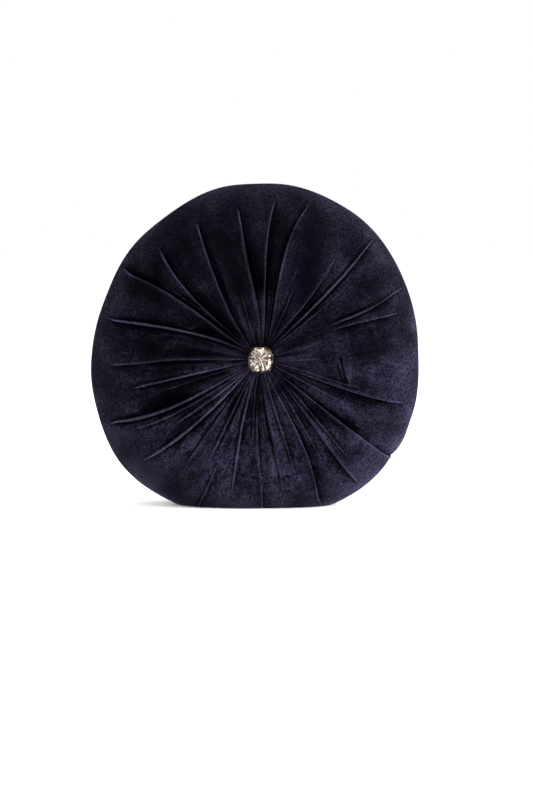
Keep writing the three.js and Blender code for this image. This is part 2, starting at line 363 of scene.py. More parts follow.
def beside_fold(distance, depth, lip_here, lip_away, width):
    """Height, sideways pull, painted crest highlight and painted shade of the velvet at a distance from a
    fold line.
    """
    size = np.clip(depth / (4 * MM), 0.0, 1.3)
    lip_place = np.minimum((1.0 + 0.7 * size) * MM, 0.28 * width)
    spread = np.clip(3.8 * depth, 1.2 * MM, 0.8 * width)
    is_ridge = ~(lip_here | lip_away)

    # Away from the lip the velvet slopes down into the fold.
    slope = -depth * np.maximum(1 - distance / spread, 0) ** 2.2

    # On the lip's side it rolls over beside the fold line.
    x = distance / lip_place
    lip = -depth * np.maximum(1 - x, 0) ** 1.5 + 0.42 * depth * np.exp(-((x - 1.25) / 0.75) ** 2)

    # A ridge stands on the fold line, with a crease along each foot.
    ridge_foot = np.maximum(1 - (distance - lip_place) / spread, 0) ** 2.2
    dip = -0.75 * depth * np.where(x < 1, x ** 2 * (3 - 2 * x), ridge_foot)
    ridge = dip + 0.30 * depth * np.exp(-(x / 0.7) ** 2)

    height = np.where(is_ridge, ridge, np.where(lip_here, lip, slope))
    pull = np.where(lip_here, 0.30 * depth * np.exp(-((x - 1.0) / 0.7) ** 2), 0)
    pull = np.minimum(pull, 0.45 * distance)
    # Painted light: the crest value paints a highlight along the lip, and the crease and valley values paint
    # shade beside the fold line.
    crest_at = np.where(is_ridge, 0.0, 1.1)
    crest = np.exp(-((x - crest_at) / 0.55) ** 2) * np.where(lip_away, 0, 1) * np.minimum(size, 1)
    shade_at = np.where(is_ridge, 1.7, 0.0)
    crease = np.exp(-((x - shade_at) / 0.6) ** 2) * np.minimum(size, 1)
    valley = np.exp(-(distance / np.maximum(1.7 * depth, MM)) ** 2) * np.minimum(size, 1) * (x > shade_at)
    shade = np.maximum(crease, np.where(lip_here, 0, 0.42 * valley))
    return height, pull, crest, shade


def pleated_row(t):
    """Angle, height, painted crest highlight and painted shade of each mesh column at one place of the
    section.
    """
    radius, angle, depth, lip, tip = fold_state(t)
    gap = gaps_after(angle)[FOLD]
    width = gap * radius
    share = column_shares(width)
    height, pull, crest, shade = beside_fold(
        share * width, depth[FOLD], lip[FOLD] > 0, lip[FOLD] < 0, width)
    next_height, next_pull, next_crest, next_shade = beside_fold(
        (1 - share) * width, depth[NEXT_FOLD], lip[NEXT_FOLD] < 0, lip[NEXT_FOLD] > 0, width)
    live = np.clip(np.minimum(depth[FOLD], depth[NEXT_FOLD]) / (3 * MM), 0, 1)
    puff = np.minimum(0.17 * width, 4.2 * MM) * live * np.sin(math.pi * np.clip(share, 0, 1)) ** 0.8
    place = angle[FOLD] + gap * share + (next_pull - pull) / radius
    # Painted highlight: brighter near each pleat's outer end.
    shine = 1 + TIP_SHINE * tip
    crest = np.maximum(crest * shine[FOLD], next_crest * shine[NEXT_FOLD])
    return place, height + next_height + puff, crest, np.maximum(shade, next_shade)


# ---- outside of the velvet cover -------------------

FRONT_DISH_ROWS, FRONT_RIM_ROWS = 54, 26
BACK_RIM_ROWS, BACK_DISH_ROWS = 13, 25


def main_rows():
    """Places of the mesh rows, closest near the button."""
    front_dish = np.linspace(0, 1, FRONT_DISH_ROWS) ** 1.25
    front_rim = 1 + np.linspace(0, 1, FRONT_RIM_ROWS + 1)[1:]
    back_rim = 2 + np.linspace(0, 1, BACK_RIM_ROWS + 1)[1:]
    back_dish = 4 - np.linspace(1, 0, BACK_DISH_ROWS + 1)[1:] ** 1.3
    return np.concatenate([front_dish, front_rim, back_rim, back_dish])


def row_places():
    """The main rows, with more of them where the short cross creases lie."""
    in_dish = np.arange(0.708, 0.860, 0.0095)
    on_rim = 1.105, 1.126, 1.138, 1.146
    return np.sort(np.concatenate([main_rows(), in_dish, on_rim]))


RIDGE_START, RIDGE_END = 0.06, (0.10, 0.18)   # radii over which the soft ridges rise and fade


def undulation(points, radius, angle):
    """Slow unevenness of the stuffing, and broad soft ridges that run to the button."""
    out = np.empty(len(points))
    for i, (point, r, a) in enumerate(zip(points, radius, angle)):
        slow = noise.noise(Vector(point) * 11)
        middling = noise.noise(Vector(point) * 31 + Vector((5, 1, 9)))
        ridges = noise.noise(Vector((4.5 * math.cos(a), 4.5 * math.sin(a), 6 * r)))
        inward = 1 - smoothstep(r, *RIDGE_END)
        out[i] = 2.4 * slow + (0.9 * middling + 6.5 * ridges * min(r / RIDGE_START, 1)) * inward
    return out * MM


KINK_END = 4                                  # mm over which a cross crease begins and ends
KINK_HALF = 1.3                               # mm, half its width
RAISED_AT, RAISED_HALF = 3.2, 1.9             # mm to its raised side, and half that side's width


def kinked(points):
    """Depth of the short cross creases at each point of the front, less than 0 on their raised side."""
    fall = np.zeros(points.shape[:-1])
    flat = (points[..., [0, 2]] - np.array([AXIS.x, AXIS.z])) / MM
    for start, end, depth in KINKS:
        start, end = np.array(start, float), np.array(end, float)
        length = np.linalg.norm(end - start)
        along = (end - start) / length
        across = np.array([-along[1], along[0]])
        way = (flat - start) @ along
        off = (flat - start) @ across
        begins = smoothstep(way, -KINK_END, KINK_END)
        ends = 1 - smoothstep(way, length - KINK_END, length + KINK_END)
        crease = np.exp(-(off / KINK_HALF) ** 2)
        raised_side = 0.4 * np.exp(-((off - RAISED_AT) / RAISED_HALF) ** 2)
        fall += begins * ends * depth * (crease - raised_side)
    return fall * MM * (points[..., 1] < 0)


def outer_points():
    """Vertices of the pleated outside as rows by columns, and the painted crest highlight, painted shade and
    normal of each.
    """
    rows, crests, shades, normals = [], [], [], []
    for t in row_places():
        angle, height, crest, shade = pleated_row(t)
        places = np.full(angle.shape, t)
        radius, y = section(places)
        normal_r, normal_y = section_normal(places)
        smooth = settle(radius, y, angle)
        lift = height + undulation(smooth, radius, angle) * smoothstep(radius, SEAT_RADIUS, 0.06)
        lift = np.where(radius < SEAT_RADIUS, np.minimum(lift, 0), lift)
        rows.append(settle(radius + normal_r * lift, y + normal_y * lift, angle))
        open_out = smoothstep(radius, SEAT_RADIUS, FULL_DISH)
        crests.append(crest * (0.4 + 0.6 * open_out))
        shades.append(shade * (0.6 + 0.4 * open_out))
        normals.append(np.stack([normal_r * np.cos(angle), normal_y, normal_r * np.sin(angle)], axis=-1))
    return np.array(rows), np.array(crests), np.array(shades), np.array(normals)


# ---- nap tone and painted light --------------------

# Painted light: the first of these is where the pile is painted lightest, towards the lower right.
PAINTED_LIGHT_DIRECTION = math.radians(295)              # directions from the axis
EVENEST_NAP = math.radians(258)

# Marks left in the nap by handling the front, and one of painted shade: direction and spread in degrees,
# from and to in mm from the axis, and how much lighter the pile looks there. The dark band at 11 degrees
# beside the button is painted shade in place of a crease's shadow.
NAP_MARKS_AND_PAINTED_SHADE = [
    (8, 9, 20, 80, 0.35), (87, 9, 12, 95, 0.4), (24, 6, 14, 75, -0.35), (50, 7, 90, 175, 0.25),
    (104, 4, 18, 60, 0.35), (140, 12, 20, 95, -0.2), (172, 6, 30, 160, -0.25), (188, 3, 25, 110, 0.25),
    (199, 5, 25, 165, -0.3), (250, 12, 85, 165, 0.22), (285, 12, 110, 170, 0.22), (265, 26, 15, 75, -0.22),
    (320, 4, 25, 150, -0.2), (331, 5, 40, 150, 0.15), (10, 24, 110, 210, -0.12), (11, 3, 5, 70, -0.6),
]
MARK_FADE = 25                                # mm over which a mark begins and ends


def round_axis(points):
    """Distance and direction of each point from the button axis."""
    x, z = points[..., 0] - AXIS.x, points[..., 2] - AXIS.z
    return np.hypot(x, z), np.arctan2(z, x)


def nap_tone(points):
    """How light the pile looks at each point: painted light makes it lighter towards the lower right, and it
    is brushed.
    """
    radius, angle = round_axis(points)
    # Painted light: lighter towards the lower right, darker towards the upper left.
    painted_light_side = 0.5 + 0.5 * np.cos(angle - PAINTED_LIGHT_DIRECTION)
    brushed = np.empty(radius.shape)
    for place in np.ndindex(radius.shape):
        a, r = angle[place], radius[place]
        streak = Vector((5 * math.cos(a), 5 * math.sin(a), 16 * r + 3 * points[place][1]))
        spot = Vector(points[place]) * 38
        brushed[place] = noise.noise(streak) + 0.7 * noise.noise(spot)
    tone = 0.38 + 0.33 * painted_light_side + (0.18 + 0.15 * painted_light_side) * brushed
    in_front = points[..., 1] < 0
    for direction, spread, start, end, lighter in NAP_MARKS_AND_PAINTED_SHADE:
        begins = smoothstep(radius, start * MM, (start + MARK_FADE) * MM)
        ends = 1 - smoothstep(radius, (end - MARK_FADE) * MM, end * MM)
        tone += lighter * bump(angle, direction, spread) * begins * ends * in_front
    return np.clip(tone, 0.02, 1)


def even_share(points):
    """Where the pile is uncrushed: round the lower half of the rim, and less so in the upper half."""
    radius, angle = round_axis(points)
    low = 0.5 + 0.5 * np.cos(angle - EVENEST_NAP)
    rim = smoothstep(radius / HALF_WIDTH, 0.74, 0.95) * (0.25 + 0.75 * low)
    return np.maximum(rim, 0.7 * (1 - low))


# ---- cloth simulation ------------------------------

TRIAL_FRAMES = 20
EVERY_ROW, EVERY_COLUMN = 2, 3                # of the mesh, for the coarser cloth
SWELL_CAP = 7 * MM
LOOSENESS = 5 * MM                            # ripple that lengthens the cloth round the cushion
HELD_DEPTH = 1.5 * MM                         # a fold this deep is held fully
HELD_RADIUS = 0.8 * ROUND_RADIUS              # within this nothing moves


def held_still(places, columns):
    """Which trial vertices the gathering holds: the hub, and the fold lines as far as they reach."""
    at_fold = FROM_FOLD[columns] == 0
    held = np.zeros((len(places), len(columns)))
    for i, t in enumerate(places):
        radius, _, depth, *_ = fold_state(t)
        held[i] = at_fold * np.clip(depth[FOLD[columns]] / HELD_DEPTH, 0, 1)
        if radius < HELD_RADIUS:
            held[i] = 1
    return held


def cloth_trial(points, loose, held):
    """Runs the velvet as cloth, blown up by its stuffing between the folds; gives the new points.

    loose is the same cloth laid out wider round the cushion, which sets how long its threads are."""
    piece = grid_mesh("cloth_trial", points)
    piece.shape_key_add(name="Basis")
    rest = piece.shape_key_add(name="loose", from_mix=False)
    rest.data.foreach_set("co", loose.ravel())
    group = piece.vertex_groups.new(name="held")
    for index, weight in enumerate(held.ravel()):
        group.add([index], float(weight), "REPLACE")
    cloth = piece.modifiers.new("cloth", "CLOTH")
    settings = cloth.settings
    settings.quality = 5
    settings.mass = 0.3
    settings.tension_stiffness = 25
    settings.compression_stiffness = 12
    settings.shear_stiffness = 4
    settings.bending_stiffness = 0.2
    settings.rest_shape_key = rest
    settings.use_pressure = True
    settings.uniform_pressure_force = 7
    settings.vertex_group_mass = "held"
    settings.effector_weights.gravity = 0
    cloth.point_cache.frame_start = 1
    cloth.point_cache.frame_end = TRIAL_FRAMES
    for number in range(1, TRIAL_FRAMES + 1):
        bpy.context.scene.frame_set(number)
    swollen = piece.evaluated_get(bpy.context.evaluated_depsgraph_get()).to_mesh()
    flat = np.empty(points.size)
    swollen.vertices.foreach_get("co", flat)
    bpy.context.scene.frame_set(1)
    bpy.data.objects.remove(piece)
    return flat.reshape(points.shape)


def swelling(points, normals):
    """How far the simulation moves every vertex of the outside, up to a cap."""
    places = row_places()
    rows = np.searchsorted(places, np.append(main_rows()[::EVERY_ROW], places[-1]))
    rows = np.unique(rows)
    index_in_fold = np.arange(len(FOLD)) - np.searchsorted(FOLD, FOLD)
    columns = np.flatnonzero(index_in_fold % EVERY_COLUMN == 0)
    coarse = points[np.ix_(rows, columns)]
    ripple = np.where(index_in_fold[columns] // EVERY_COLUMN % 2, LOOSENESS, 0)
    loose = coarse + normals[np.ix_(rows, columns)] * ripple[None, :, None]
    move = cloth_trial(coarse, loose, held_still(places[rows], columns)) - coarse
    length = np.linalg.norm(move, axis=-1, keepdims=True)
    move *= SWELL_CAP * np.tanh(length / SWELL_CAP) / np.maximum(length, 1e-9)
    radius, _ = section(places[rows])
    move *= (1 - smoothstep(radius, 0.55 * HALF_WIDTH, 0.84 * HALF_WIDTH))[:, None, None]
    everywhere = np.empty(points.shape)
    all_rows, all_columns = np.arange(len(places)), np.arange(len(FOLD))
    for axis in range(3):
        across = [np.interp(all_columns, columns, line, period=len(FOLD)) for line in move[..., axis]]
        along = [np.interp(all_rows, rows, line) for line in np.transpose(across)]
        everywhere[..., axis] = np.transpose(along)
    return everywhere


# ---- layers and meshes -----------------------------

def smooth_angles():
    """Direction of every mesh column where it crosses the rim."""
    _, angle, *_ = fold_state(2.0)
    gap = gaps_after(angle)[FOLD]
    return angle[FOLD] + gap * column_shares(gap * HALF_WIDTH)


def below_surface(t, angle, depth, clearance, hole=0.0):
    """Points at a depth below the cushion's even surface, outside the hole round the axis."""
    places = t + 0 * angle
    radius, y = section(places)
    normal_r, normal_y = section_normal(places)
    radius = np.maximum(radius - normal_r * depth, hole)
    return settle(radius, y - normal_y * depth, angle, clearance)


def layer(angle, depth, count, hole, clearance, t_from=0.0, t_to=4.0):
    """Rows of a smooth layer, from one place of the section to another."""
    places = np.linspace(t_from, t_to, count)
    return np.array([below_surface(t, angle, depth, clearance, hole) for t in places])


def add_piece(name, points, faces, smooth=True):
    mesh = bpy.data.meshes.new(name)
    mesh.from_pydata(points, [], faces)
    mesh.polygons.foreach_set("use_smooth", np.full(len(faces), smooth))
    mesh.update()
    return add_object(name, mesh)


def grid_mesh(name, grid, **values):
    """A closed mesh from rows that close on themselves both ways; values go to its first vertices."""
    rows, columns, _ = grid.shape
    index = np.arange(rows * columns).reshape(rows, columns)
    after = np.roll(index, -1, axis=1)
    below = np.roll(index, -1, axis=0)
    below_after = np.roll(after, -1, axis=0)
    faces = np.stack([index, after, below_after, below], axis=-1).reshape(-1, 4)
    piece = add_piece(name, grid.reshape(-1, 3).tolist(), faces.tolist())
    for key, value in values.items():
        attribute = piece.data.attributes.new(key, "FLOAT", "POINT")
        padded = np.zeros(rows * columns)
        padded[:value.size] = value.ravel()
        attribute.data.foreach_set("value", padded)
    return piece


def ball_mesh(name, grid, start, end, faceted=False):
    """A closed mesh from rings of points that a single point closes at each end."""
    rows, columns, _ = grid.shape
    index = np.arange(rows * columns).reshape(rows, columns)
    after = np.roll(index, -1, axis=1)
    first, last = rows * columns, rows * columns + 1
    faces = [(first, b, a) for a, b in zip(index[0], after[0])]
    faces += [(last, a, b) for a, b in zip(index[-1], after[-1])]
    for row in range(rows - 1):
        for a, b, c, d in zip(index[row], after[row], after[row + 1], index[row + 1]):
            if not faceted:
                faces.append((a, b, c, d))
            elif row % 2:
                faces += [(a, b, c), (a, c, d)]
            else:
                faces += [(a, b, d), (b, c, d)]
    points = np.concatenate([grid.reshape(-1, 3), [start], [end]])
    faces = [[int(i) for i in face] for face in faces]
    return add_piece(name, points.tolist(), faces, smooth=not faceted)


def belongs(piece, body, node):
    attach(piece, body)
    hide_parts(node)
    return piece


# ---- cover and pad ---------------------------------

COVER_WALL = 8.5 * MM                         # from the even surface to below the deepest crease
COVER_CLEARANCE = 4 * MM                      # of the cover's inner wall above the ground
KINK_SHADE, KINK_HIGHLIGHT = 0.8, 1.2             # how dark the painted shade in a cross crease is, how bright the painted highlight on its raised side
PAD_DEPTH = COVER_WALL + 1 * MM
CALICO = 0.8 * MM
NEEDLE_HOLE = 6 * MM
PAD_CLEARANCE = 6 * MM                        # of the calico above the ground
INNER_ROWS = 11                               # of the cover's inner wall
PANEL_ROWS, PANEL_COLUMNS = 30, 120
FILL_ROWS, FILL_COLUMNS = 48, 96


def make_cover():
    """The velvet: pleated, swollen and creased outside, with a smooth inner wall."""
    outside, crest, shade, normals = outer_points()
    outside = outside + swelling(outside, normals)
    kink = kinked(outside)
    outside = outside - normals * kink[..., None]
    outside[..., 2] = np.maximum(outside[..., 2], GROUND_GAP)
    # Painted shade along the cross creases, and a painted highlight on their raised sides.
    shade = np.maximum(shade, KINK_SHADE * kink / kink.max())
    crest = np.maximum(crest, -KINK_HIGHLIGHT * kink / kink.max())
    inside = layer(smooth_angles(), COVER_WALL, INNER_ROWS, INNER_RADIUS, COVER_CLEARANCE)
    cover = grid_mesh("ruched_velvet_cover", np.concatenate([outside, inside[::-1]]),
                      crest=crest, shade=shade, nap=nap_tone(outside), even=even_share(outside))
    belongs(cover, "cushion", "velvet_cover")
    return cover


def make_pad_panel(name, node, t_from, t_to):
    """One calico panel of the pad, from its needle hole to the seam round the rim."""
    angle = round_turn(PANEL_COLUMNS)
    outside = layer(angle, PAD_DEPTH, PANEL_ROWS, NEEDLE_HOLE, PAD_CLEARANCE, t_from, t_to)
    inside = layer(angle, PAD_DEPTH + CALICO, PANEL_ROWS, NEEDLE_HOLE, PAD_CLEARANCE + CALICO, t_from, t_to)
    panel = grid_mesh(name, np.concatenate([outside, inside[::-1]]))
    belongs(panel, "cushion", node)
    return panel


def make_fill():
    """The hollow fibre inside the calico, with the needle channel through it."""
    angle = round_turn(FILL_COLUMNS)
    depth = PAD_DEPTH + CALICO + 0.6 * MM
    rows = layer(angle, depth, FILL_ROWS, NEEDLE_HOLE + 0.3 * MM, PAD_CLEARANCE + 2 * MM)
    fill = grid_mesh("hollow_fibre_fill", rows)
    belongs(fill, "cushion", "fibre_fill")
    return fill


# ---- threads ---------------------------------------

THREAD_RADIUS, THREAD_SIDES = 0.45 * MM, 6
RIM_STITCH = math.radians(1.5)
RIM_SWING, CLOSING_SWING = 0.012, 0.03        # of the stitches over the rim, in steps of the section
CLOSING = np.radians([53, 97])                # where the pad was closed by hand
SIDE_SEAM = 247                               # outer direction of the pleat that the side seam follows
SEAM_FOLD = [row[2] for row in front_rows].index(SIDE_SEAM)
SEAM_DEPTH, SEAM_WAVE = 5.2 * MM, 0.35 * MM   # below the even surface, and how far the stitches wave
SEAM_CLEARANCE = 4.5 * MM                     # above the ground


def rings_round(path, closed):
    """Rings of points round a path of points."""
    after = np.roll(path, -1, axis=0)
    before = np.roll(path, 1, axis=0)
    if not closed:
        after[-1], before[0] = path[-1], path[0]
    along = after - before
    along /= np.linalg.norm(along, axis=1)[:, None]
    side = np.cross(along, (0.0, 1.0, 0.03))
    side /= np.linalg.norm(side, axis=1)[:, None]
    up = np.cross(side, along)
    turn = round_turn(THREAD_SIDES)
    ring = np.cos(turn)[None, :, None] * side[:, None] + np.sin(turn)[None, :, None] * up[:, None]
    return path[:, None] + THREAD_RADIUS * ring


def stitch_wave(angle):
    """Swing of a stitched thread from one side of its seam to the other, from -1 to 1."""
    return np.sin(angle / RIM_STITCH * math.pi)


def make_rim_seam():
    """The machine seam that joins the pad's two panels round the rim."""
    angle = round_turn(720)
    places = 2 + RIM_SWING * stitch_wave(angle)
    path = below_surface(places, angle, PAD_DEPTH + CALICO / 2, PAD_CLEARANCE)
    seam = grid_mesh("rim_seam_thread", rings_round(path, closed=True))
    return belongs(seam, "cushion", "pad_rim_seam_thread")


def make_closing_stitches():
    """Wider hand stitches over the opening that the pad was filled through."""
    angle = np.linspace(*CLOSING, 240)
    places = 2 + CLOSING_SWING * stitch_wave(angle)
    path = below_surface(places, angle, PAD_DEPTH + CALICO / 2 - 2 * THREAD_RADIUS, PAD_CLEARANCE)
    stitches = ball_mesh("closing_stitches", rings_round(path, closed=False), path[0], path[-1])
    return belongs(stitches, "cushion", "pad_closing_stitches")


def make_side_seam():
    """The seam that joins the ends of the cover's strip, over the rim from front to back."""
    places = np.linspace(0.5, 3.5, 260)
    angle = np.array([fold_state(t)[1][SEAM_FOLD] for t in places])
    depth = SEAM_DEPTH + SEAM_WAVE * np.sin(np.arange(len(places)) * 1.1)
    path = below_surface(places, angle, depth, SEAM_CLEARANCE)
    seam = ball_mesh("side_seam_thread", rings_round(path, closed=False), path[0], path[-1])
    return belongs(seam, "cushion", "cover_side_seam_thread")


# ---- buttons ---------------------------------------

def rings_about_axis(rows, columns, corners=0.0, twist=False, jitter=0.0, chance=None):
    """Rings of points round the button axis from rows of radius and y, swelling at four corners."""
    grid = []
    for i, (radius, y) in enumerate(rows):
        turn = round_turn(columns) + (math.pi / columns if twist and i % 2 else 0)
        reach = radius * (1 + corners * np.abs(np.sin(2 * turn)) ** 1.5)
        shake = np.zeros((2, columns))
        if chance:
            shake = np.array([[chance.uniform(-jitter, jitter) for _ in turn] for _ in (0, 1)])
        reach = reach + shake[0]
        x = AXIS.x + reach * np.cos(turn)
        z = AXIS.z + reach * np.sin(turn)
        grid.append(np.stack([x, y + shake[1], z], axis=-1))
    return np.array(grid)


# The cut of the crystal: share of its radius and share of its height for each ring of corners.
CUT = [(0.15, 1.0), (0.38, 0.97), (0.61, 0.86), (0.81, 0.67), (0.94, 0.43), (0.985, 0.22), (0.96, 0.0)]
FACETS_ROUND = 28
CORNER_SWELL = 0.11
STONE_TALL = 1.05                             # height of the stone as a share of its width
CUT_UNEVENNESS = 0.42 * MM


def make_crystal():
    """A crystal with a rounded square outline, cut into narrow facets that sparkle unevenly."""
    chance = random.Random(21)
    top, foot = stone_low.y, stone_high.y
    rows = [(STONE_RADIUS * share, foot + (top - foot) * rise) for share, rise in CUT]
    front = rings_about_axis(rows[:-1], FACETS_ROUND, CORNER_SWELL, True, CUT_UNEVENNESS, chance)
    base = rings_about_axis(rows[-1:], FACETS_ROUND, CORNER_SWELL)
    grid = np.concatenate([front, base])
    grid[..., 1] = np.clip(grid[..., 1], top, foot)
    grid[..., 2] = AXIS.z + (grid[..., 2] - AXIS.z) * STONE_TALL
    stone = ball_mesh("cut_crystal_stone", grid, (AXIS.x, top, AXIS.z), (AXIS.x, foot, AXIS.z), True)
    # A random value for each facet picks its painted glint colour.
    glint = stone.data.attributes.new("glint", "FLOAT", "FACE")
    glint.data.foreach_set("value", [chance.random() for _ in stone.data.polygons])
    return belongs(stone, "crystal_button", "crystal_stone")


DOME_GAP = 0.2 * MM                           # between the button's velvet and its metal dome
BUTTON_NAP = 0.6


def make_back_button():
    """Velvet gathered over a metal dome, with small creases where it turns under."""
    radius = (button_high.x - button_low.x) / 2
    inner = (dome_high.x - dome_low.x) / 2 + DOME_GAP
    foot, top, under = button_low.y, button_high.y, dome_high.y + DOME_GAP
    turn = np.linspace(0.06, math.pi / 2, 16)
    outside = [(radius * math.sin(a), foot + (top - foot) * math.cos(a) ** 0.8) for a in turn]
    inside = [(inner * math.sin(a), foot + (under - foot) * math.cos(a)) for a in turn[::-1]]
    angle = round_turn(96)
    grid = rings_about_axis(outside + inside, len(angle))
    for i, (reach, _) in enumerate(outside):
        share = smoothstep(reach / radius, 0.72, 1.0)
        crease = 0.45 * MM * share * np.abs(np.sin(12 * angle + 0.9 * np.sin(5 * angle)))
        grid[i, :, 0] -= crease * np.cos(angle)
        grid[i, :, 2] -= crease * np.sin(angle)
    start, end = (AXIS.x, top, AXIS.z), (AXIS.x, under, AXIS.z)
    button = ball_mesh("covered_back_button", grid, start, end)
    nap = button.data.attributes.new("nap", "FLOAT", "POINT")
    nap.data.foreach_set("value", np.full(len(button.data.vertices), BUTTON_NAP))
    return belongs(button, "back_button", "back_button_velvet")


# ---- materials -------------------------------------

def grey(value):
    return (value, value, value)


class Nodes:
    """A new material and short ways of adding and joining its nodes."""

    def __init__(self, name):
        self.material = bpy.data.materials.new(name)
        self.material.use_nodes = True
        self.tree = self.material.node_tree
        self.shader = self.tree.nodes["Principled BSDF"]
        self.place = self.add("ShaderNodeTexCoord").outputs["Object"]

    def add(self, kind, **settings):
        node = self.tree.nodes.new(kind)
        for key, value in settings.items():
            setattr(node, key, value)
        return node

    def join(self, source, target):
        self.tree.links.new(source, target)

    def feed(self, socket, value):
        """Joins another node's output to a socket, or sets the socket to a plain value."""
        if isinstance(value, bpy.types.NodeSocket):
            self.join(value, socket)
        else:
            socket.default_value = value

    def noise(self, scale, detail, roughness, distortion=0.0, place=None):
        node = self.add("ShaderNodeTexNoise")
        node.inputs["Scale"].default_value = scale
        node.inputs["Detail"].default_value = detail
        node.inputs["Roughness"].default_value = roughness
        node.inputs["Distortion"].default_value = distortion
        self.join(place or self.place, node.inputs["Vector"])
        return node.outputs["Fac"]

    def bands(self, direction, scale, distortion):
        node = self.add("ShaderNodeTexWave", wave_type="BANDS", bands_direction=direction)
        node.inputs["Scale"].default_value = scale
        node.inputs["Distortion"].default_value = distortion
        self.join(self.place, node.inputs["Vector"])
        return node.outputs["Fac"]

    def attribute(self, name):
        """A value that the mesh holds for each vertex or face."""
        return self.add("ShaderNodeAttribute", attribute_name=name).outputs["Fac"]

    def clamped(self, value):
        node = self.add("ShaderNodeClamp")
        self.join(value, node.inputs["Value"])
        return node.outputs["Result"]

    def ramp(self, value, *stops, constant=False):
        node = self.add("ShaderNodeValToRGB")
        node.color_ramp.interpolation = "CONSTANT" if constant else "LINEAR"
        while len(node.color_ramp.elements) < len(stops):
            node.color_ramp.elements.new(0.5)
        for element, (place, colour) in zip(node.color_ramp.elements, stops):
            element.position = place
            element.color = (*colour, 1)
        self.join(value, node.inputs["Fac"])
        return node.outputs["Color"]

    def mask(self, value, low, high):
        """Black up to low and white from high on."""
        return self.ramp(value, (low, grey(0.0)), (high, grey(1.0)))

    def math(self, operation, a, b):
        node = self.add("ShaderNodeMath", operation=operation)
        self.feed(node.inputs[0], a)
        self.feed(node.inputs[1], b)
        return node.outputs[0]

    def times(self, a, b):
        return self.math("MULTIPLY", a, b)

    def plus(self, a, b):
        return self.math("ADD", a, b)

    def mix(self, share, a, b):
        node = self.add("ShaderNodeMix", data_type="FLOAT")
        self.feed(node.inputs[0], share)
        self.feed(node.inputs[2], a)
        self.feed(node.inputs[3], b)
        return node.outputs[0]

    def vector(self, operation, a, b=(0, 0, 0)):
        node = self.add("ShaderNodeVectorMath", operation=operation)
        self.feed(node.inputs[0], a)
        self.feed(node.inputs[1], b)
        return node.outputs

    def bump(self, height, strength, distance):
        node = self.add("ShaderNodeBump")
        node.inputs["Strength"].default_value = strength
        node.inputs["Distance"].default_value = distance
        self.join(height, node.inputs["Height"])
        self.join(node.outputs["Normal"], self.shader.inputs["Normal"])


def round_the_axis(n, around, outward):
    """Noise place that runs along the pleats: long from the button outwards, short across."""
    flat = n.vector("MULTIPLY", n.vector("SUBTRACT", n.place, AXIS)[0], (1, 0, 1))[0]
    direction = n.vector("MULTIPLY", n.vector("NORMALIZE", flat)[0], (around, around, around))[0]
    depth = n.vector("MULTIPLY", n.place, (0, outward, 0))[0]
    radius = n.add("ShaderNodeCombineXYZ")
    n.join(n.times(n.vector("LENGTH", flat)[1], outward), radius.inputs["Y"])
    return n.vector("ADD", direction, n.vector("ADD", radius.outputs[0], depth)[0])[0]


def velvet_material():
    """Crushed navy velvet: a grain of tufts over the nap tone, which is painted lighter towards the lower
    right, with painted highlights on the pleat edges and painted shade in the creases.
    """
    n = Nodes("velvet_pile")
    streaks = n.noise(1, 4, 0.65, 0.6, round_the_axis(n, 13, 26))
    streaks = n.mask(streaks, 0.40, 0.60)
    tufts = n.mask(n.noise(600, 3, 0.8), 0.42, 0.59)
    grain = n.mask(n.noise(250, 3, 0.7, 0.8), 0.38, 0.63)
    crushed = n.mask(n.noise(75, 4, 0.65, 1.0), 0.42, 0.60)
    even = n.attribute("even")
    pile = n.plus(n.times(tufts, 0.62), n.times(grain, 0.34))
    pile = n.plus(pile, n.times(n.mix(even, crushed, 0.5), 0.25))
    streaking = n.times(n.mix(even, streaks, 0.5), 0.62)
    pile = n.times(pile, n.plus(streaking, 0.69))
    flat = n.times(n.math("POWER", even, 4.0), 0.75)
    pile = n.mix(flat, pile, 0.55)
    # Painted light and shade: the pleat edges get a painted highlight and the creases get painted shade, on
    # top of the nap tone.
    tone = n.times(n.attribute("nap"), n.plus(pile, 0.12))
    tone = n.plus(tone, n.times(n.attribute("crest"), 0.38))
    tone = n.clamped(n.math("SUBTRACT", tone, n.times(n.attribute("shade"), 0.55)))
    colour = n.ramp(tone, (0.0, (0.0004, 0.0003, 0.0007)), (0.3, (0.0034, 0.0028, 0.0053)),
                    (1.0, (0.034, 0.028, 0.060)))
    n.join(colour, n.shader.inputs["Base Color"])
    n.join(n.ramp(tufts, (0.0, grey(0.95)), (1.0, grey(0.75))), n.shader.inputs["Roughness"])
    sheen = n.ramp(tone, (0.0, grey(0.02)), (0.3, grey(0.20)), (1.0, grey(1.0)))
    n.join(sheen, n.shader.inputs["Sheen Weight"])
    n.shader.inputs["Specular IOR Level"].default_value = 0.0
    n.shader.inputs["Sheen Roughness"].default_value = 0.3
    n.shader.inputs["Sheen Tint"].default_value = (0.265, 0.225, 0.39, 1)
    height = n.plus(n.times(tufts, 0.6), grain)
    n.bump(n.mix(flat, height, 0.8), 0.8, 0.0010)
    return n.material


